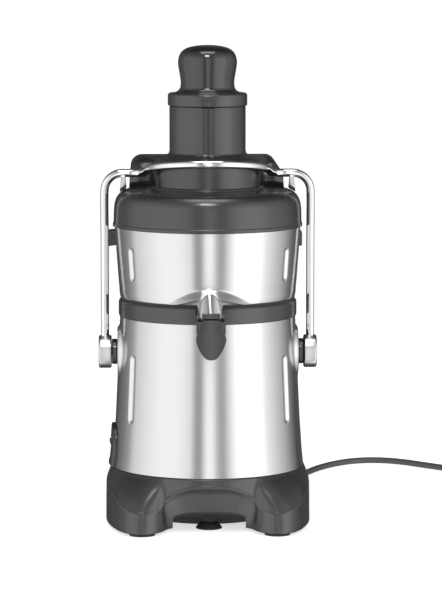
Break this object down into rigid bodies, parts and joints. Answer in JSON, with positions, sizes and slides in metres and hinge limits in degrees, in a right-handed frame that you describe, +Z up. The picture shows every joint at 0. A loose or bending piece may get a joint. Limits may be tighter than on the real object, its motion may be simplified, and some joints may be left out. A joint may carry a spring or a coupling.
{
  "type": "centrifugal juicer",
  "caption": "Upright centrifugal juicer with steel housing and bowl, front spout with a flap, lid with a feed chute and pusher, locking wire bail and a rear pulp bin.",
  "frame": {"origin": "centre of the machine's footprint on the surface that it stands on, cord left out", "axes": "+Z up, -Y towards the front where the juice spout is, +X to the right seen from the front"},
  "size_m": [0.5259, 0.5159, 0.51],
  "materials": {
    "moulded": "dark grey moulded plastic, soft sheen",
    "glossy": "near-black glossy plastic",
    "steel": "fine brushed stainless steel",
    "chrome": "bright polished rod",
    "satin": "satin turned steel",
    "rubber": "matt black rubber",
    "cast": "cast aluminium",
    "iron": "laminated iron",
    "cord": "grey flexible mains cord",
    "brass": "plain brass"
  },
  "bodies": {
    "machine": {"base_shell": "moulded", "bottom_cover": "moulded", "switch_bezel": "moulded", "collar_ring": "moulded", "lid": "moulded", "pivot_spacer_left": "moulded", "pivot_spacer_right": "moulded", "switch_body": "glossy", "run_capacitor": "glossy", "safety_switch": "glossy", "plug_body": "glossy", "motor_housing": "steel", "juice_bowl": "steel", "juice_spout": "steel", "pivot_bolt_left": "satin", "pivot_bolt_right": "satin", "flap_pin": "satin", "bearing_lower": "satin", "bearing_upper": "satin", "cover_screw_1": "satin", "cover_screw_2": "satin", "cover_screw_3": "satin", "cover_screw_4": "satin", "foot_front_left": "rubber", "foot_front_right": "rubber", "foot_rear_left": "rubber", "foot_rear_right": "rubber", "centre_foot": "rubber", "shaft_seal": "rubber", "lid_gasket": "rubber", "strain_relief": "rubber", "cord_tie": "rubber", "motor_plate": "cast", "end_bell_lower": "cast", "end_bell_upper": "cast", "top_deck": "cast", "stator": "iron", "cord_lead": "cord", "cord_coil": "cord", "plug_pin_left": "brass", "plug_pin_right": "brass"},
    "bail": {"bail_rod": "chrome", "bail_hub_left": "satin", "bail_hub_right": "satin", "hold_down_finger_left": "satin", "hold_down_finger_right": "satin", "finger_pad_left": "rubber", "finger_pad_right": "rubber"},
    "pusher": {"pusher": "moulded", "pusher_knob": "glossy"},
    "flap": {"spout_flap": "moulded"},
    "rocker": {"switch_rocker": "glossy"},
    "rotor": {"motor_shaft": "satin", "rotor_core": "iron", "cooling_fan": "moulded", "drive_hub": "cast", "filter_basket": "steel", "grating_disc": "steel", "basket_nut": "satin"},
    "bin": {"pulp_bin": "moulded"}
  },
  "joints": [
    {"name": "bail_swing", "type": "hinge", "parent": "machine", "child": "bail", "pos_m": [0, -0.0425, 0.1827], "axis": [1, 0, 0], "range_deg": [0, 115]},
    {"name": "pusher_slide", "type": "slide", "parent": "machine", "child": "pusher", "axis": [0, 0, 1], "range_m": [0, 0.15]},
    {"name": "flap_hinge", "type": "hinge", "parent": "machine", "child": "flap", "pos_m": [0, -0.179, 0.234], "axis": [-1, 0, 0], "range_deg": [0, 75]},
    {"name": "switch_tilt", "type": "hinge", "parent": "machine", "child": "rocker", "pos_m": [-0.1024, -0.0425, 0.0785], "axis": [0, 1, 0], "range_deg": [0, 12]},
    {"name": "rotor_spin", "type": "hinge", "parent": "machine", "child": "rotor", "pos_m": [0, -0.0425, 0.25], "axis": [0, 0, 1], "continuous": true},
    {"name": "bin_slide", "type": "slide", "parent": "machine", "child": "bin", "axis": [0, 1, 0], "range_m": [0, 0.13]}
  ]
}
